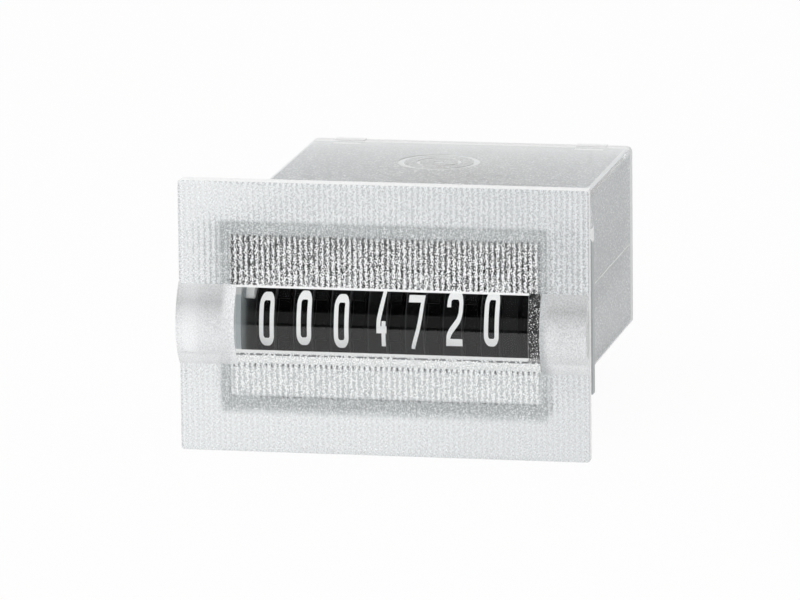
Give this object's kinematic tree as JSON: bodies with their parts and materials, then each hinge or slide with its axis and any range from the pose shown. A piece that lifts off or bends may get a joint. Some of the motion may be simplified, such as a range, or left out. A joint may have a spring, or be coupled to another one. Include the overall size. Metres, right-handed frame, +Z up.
{
  "type": "panel counter",
  "caption": "Clear-cased electromechanical pulse counter for panel mounting, with a ribbed bezel, a magnifying lens band and geared number wheels stepped by a magnet.",
  "frame": {"origin": "centre of the bezel's back face, which lies on the panel", "axes": "+X to the right of the front face, +Y back through the panel, +Z up"},
  "size_m": [0.03, 0.0412, 0.0198],
  "materials": {
    "case_clear": "frosted clear plastic, polished at the lens",
    "cover_clear": "frosted clear plastic",
    "frame_pale": "satin moulding",
    "wheel_black": "satin black with white numerals",
    "pinion_black": "satin black",
    "steel": "ground",
    "iron": "zinc-plated iron",
    "bobbin_ivory": "satin moulding",
    "winding_copper": "enamelled copper wire",
    "anchor_grey": "satin moulding",
    "terminal_tin": "tinned brass"
  },
  "bodies": {
    "housing": {"case": "case_clear", "rear_cover": "cover_clear", "mechanism_frame": "frame_pale", "number_shaft": "steel", "pinion_shaft": "steel", "core": "iron", "yoke": "iron", "bobbin": "bobbin_ivory", "winding": "winding_copper", "armature_pin": "steel", "terminal_left": "terminal_tin", "terminal_right": "terminal_tin"},
    "units": {"units_wheel": "wheel_black", "drive_wheel": "wheel_black"},
    "tens": {"tens_wheel": "wheel_black"},
    "hundreds": {"hundreds_wheel": "wheel_black"},
    "thousands": {"thousands_wheel": "wheel_black"},
    "ten_thousands": {"ten_thousands_wheel": "wheel_black"},
    "hundred_thousands": {"hundred_thousands_wheel": "wheel_black"},
    "millions": {"millions_wheel": "wheel_black"},
    "tens_transfer": {"tens_pinion": "pinion_black"},
    "hundreds_transfer": {"hundreds_pinion": "pinion_black"},
    "thousands_transfer": {"thousands_pinion": "pinion_black"},
    "ten_thousands_transfer": {"ten_thousands_pinion": "pinion_black"},
    "hundred_thousands_transfer": {"hundred_thousands_pinion": "pinion_black"},
    "millions_transfer": {"millions_pinion": "pinion_black"},
    "armature": {"armature": "iron", "anchor": "anchor_grey", "return_spring": "steel"}
  },
  "joints": [
    {"name": "units_turn", "type": "hinge", "parent": "housing", "child": "units", "pos_m": [0, 0.00575, -0.0008], "axis": [-1, 0, 0], "continuous": true},
    {"name": "tens_turn", "type": "hinge", "parent": "housing", "child": "tens", "pos_m": [0, 0.00575, -0.0008], "axis": [-1, 0, 0], "continuous": true},
    {"name": "hundreds_turn", "type": "hinge", "parent": "housing", "child": "hundreds", "pos_m": [0, 0.00575, -0.0008], "axis": [-1, 0, 0], "continuous": true},
    {"name": "thousands_turn", "type": "hinge", "parent": "housing", "child": "thousands", "pos_m": [0, 0.00575, -0.0008], "axis": [-1, 0, 0], "continuous": true},
    {"name": "ten_thousands_turn", "type": "hinge", "parent": "housing", "child": "ten_thousands", "pos_m": [0, 0.00575, -0.0008], "axis": [-1, 0, 0], "continuous": true},
    {"name": "hundred_thousands_turn", "type": "hinge", "parent": "housing", "child": "hundred_thousands", "pos_m": [0, 0.00575, -0.0008], "axis": [-1, 0, 0], "continuous": true},
    {"name": "millions_turn", "type": "hinge", "parent": "housing", "child": "millions", "pos_m": [0, 0.00575, -0.0008], "axis": [-1, 0, 0], "continuous": true},
    {"name": "tens_transfer_turn", "type": "hinge", "parent": "housing", "child": "tens_transfer", "pos_m": [0, 0.01093, -0.0008], "axis": [-1, 0, 0], "continuous": true},
    {"name": "hundreds_transfer_turn", "type": "hinge", "parent": "housing", "child": "hundreds_transfer", "pos_m": [0, 0.01093, -0.0008], "axis": [-1, 0, 0], "continuous": true},
    {"name": "thousands_transfer_turn", "type": "hinge", "parent": "housing", "child": "thousands_transfer", "pos_m": [0, 0.01093, -0.0008], "axis": [-1, 0, 0], "continuous": true},
    {"name": "ten_thousands_transfer_turn", "type": "hinge", "parent": "housing", "child": "ten_thousands_transfer", "pos_m": [0, 0.01093, -0.0008], "axis": [-1, 0, 0], "continuous": true},
    {"name": "hundred_thousands_transfer_turn", "type": "hinge", "parent": "housing", "child": "hundred_thousands_transfer", "pos_m": [0, 0.01093, -0.0008], "axis": [-1, 0, 0], "continuous": true},
    {"name": "millions_transfer_turn", "type": "hinge", "parent": "housing", "child": "millions_transfer", "pos_m": [0, 0.01093, -0.0008], "axis": [-1, 0, 0], "continuous": true},
    {"name": "armature_pull", "type": "hinge", "parent": "housing", "child": "armature", "pos_m": [0, 0.01476, -0.00492], "axis": [-1, 0, 0], "range_deg": [0, 4], "stiffness_Nm_per_rad": 0.0002, "springref_deg": -11.46}
  ],
  "couplings": [
    {"joint": "tens_turn", "follows": "units_turn", "ratio": 0.1},
    {"joint": "hundreds_turn", "follows": "units_turn", "ratio": 0.01},
    {"joint": "thousands_turn", "follows": "units_turn", "ratio": 0.001},
    {"joint": "ten_thousands_turn", "follows": "units_turn", "ratio": 0.0001},
    {"joint": "hundred_thousands_turn", "follows": "units_turn", "ratio": 0.00001},
    {"joint": "millions_turn", "follows": "units_turn", "ratio": 0.000001},
    {"joint": "tens_transfer_turn", "follows": "units_turn", "ratio": -0.25},
    {"joint": "hundreds_transfer_turn", "follows": "units_turn", "ratio": -0.025},
    {"joint": "thousands_transfer_turn", "follows": "units_turn", "ratio": -0.0025},
    {"joint": "ten_thousands_transfer_turn", "follows": "units_turn", "ratio": -0.00025},
    {"joint": "hundred_thousands_transfer_turn", "follows": "units_turn", "ratio": -0.000025},
    {"joint": "millions_transfer_turn", "follows": "units_turn", "ratio": -0.0000025}
  ]
}
